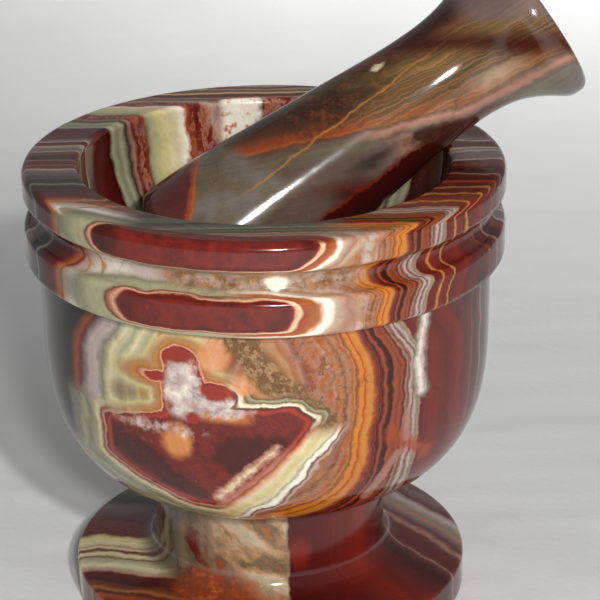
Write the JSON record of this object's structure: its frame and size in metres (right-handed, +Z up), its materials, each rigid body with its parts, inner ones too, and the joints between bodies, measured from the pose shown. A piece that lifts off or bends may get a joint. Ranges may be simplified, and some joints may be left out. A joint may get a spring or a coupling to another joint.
{
  "type": "mortar and pestle",
  "caption": "Footed mortar turned from banded stone, with beads under its rim, and a loose one-piece pestle leaning across its mouth.",
  "frame": {"origin": "centre of the flat face under the foot", "axes": "+Z up along the mortar's axis; the pestle leans towards +X, turned 11.4 degrees towards +Y"},
  "size_m": [0.1167, 0.1, 0.14],
  "materials": {
    "bowl_onyx": "high polish, banded red, cream and amber",
    "foot_onyx": "high polish, banded maroon, rust and cream",
    "cement": "matt filled resin",
    "pestle_onyx": "high polish, streaked olive brown, rust and maroon"
  },
  "bodies": {
    "mortar": {"foot": "foot_onyx", "cement_layer": "cement", "bowl": "bowl_onyx"},
    "pestle": {"pestle": "pestle_onyx"}
  },
  "joints": [
    {"name": "pestle_lift", "type": "slide", "parent": "mortar", "child": "pestle", "axis": [0, 0, 1], "range_m": [0, 0.07]}
  ]
}
